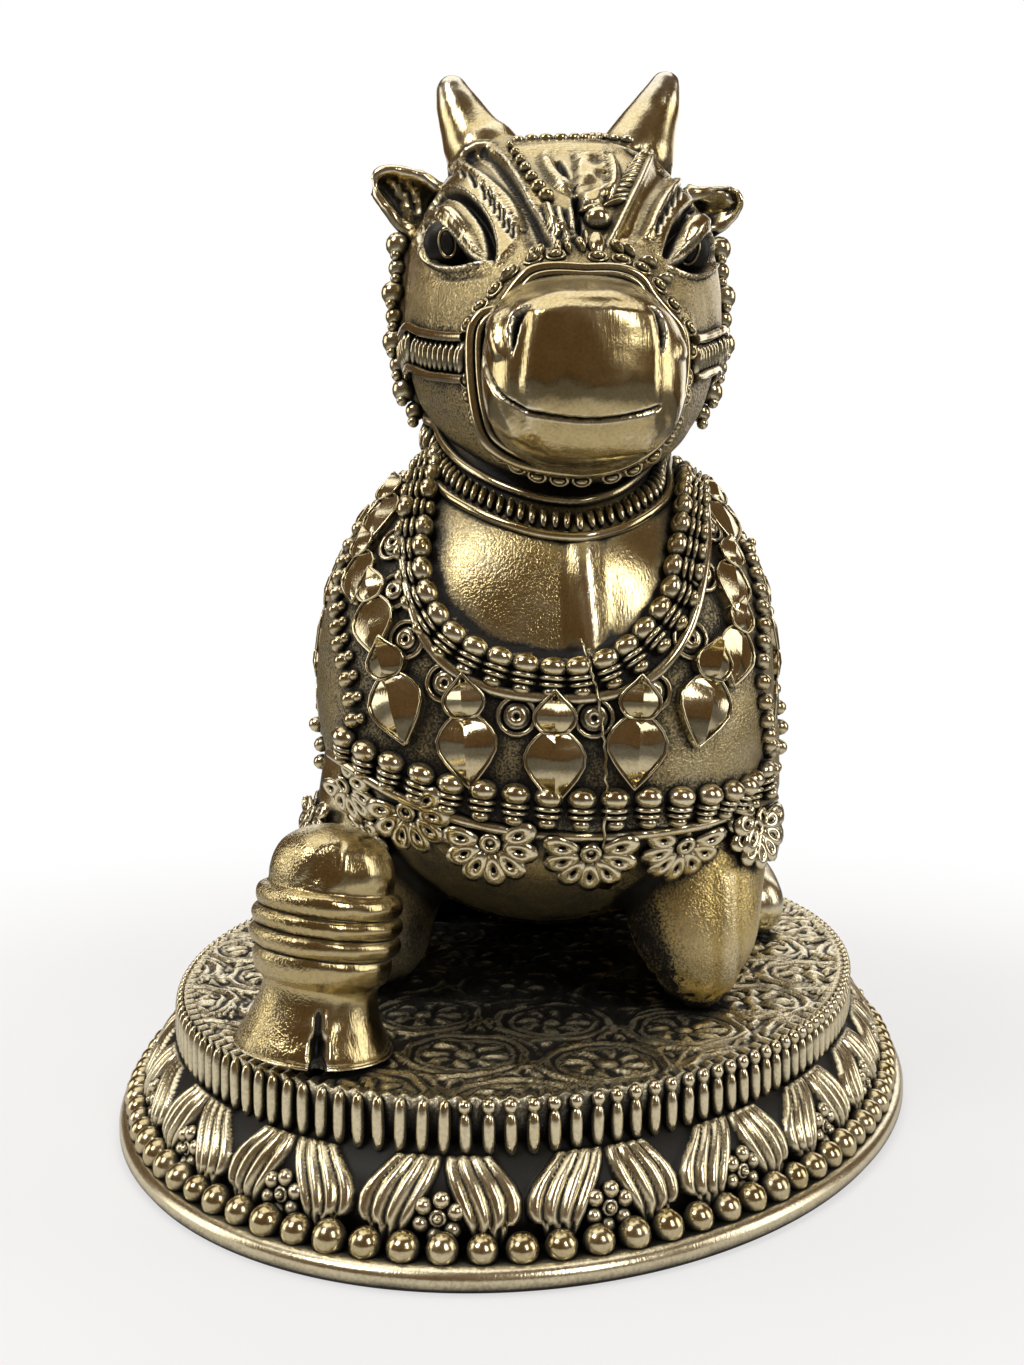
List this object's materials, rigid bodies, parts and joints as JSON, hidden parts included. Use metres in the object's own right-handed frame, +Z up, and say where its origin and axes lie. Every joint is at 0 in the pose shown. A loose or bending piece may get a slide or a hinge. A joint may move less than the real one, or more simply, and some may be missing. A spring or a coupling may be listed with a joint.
{
  "type": "nandi bull figure",
  "caption": "Reclining bull in harness and beaded cloth on an oval lotus base, with a small domed lingam before it.",
  "frame": {"origin": "centre of the oval base on the surface it stands on", "axes": "+Z up, the bull faces -Y, +X across the base"},
  "size_m": [0.086, 0.12, 0.1093],
  "materials": {
    "base_metal": "antique gold plate, dark in the recesses, rubbed bright on the high spots",
    "bull_metal": "antique gold plate, polished and brushed, dark in the recesses",
    "lingam_metal": "antique gold plate, polished, dark in the grooves"
  },
  "bodies": {
    "root": {"lotus_base": "base_metal", "bull": "bull_metal", "lingam": "lingam_metal"}
  },
  "joints": []
}
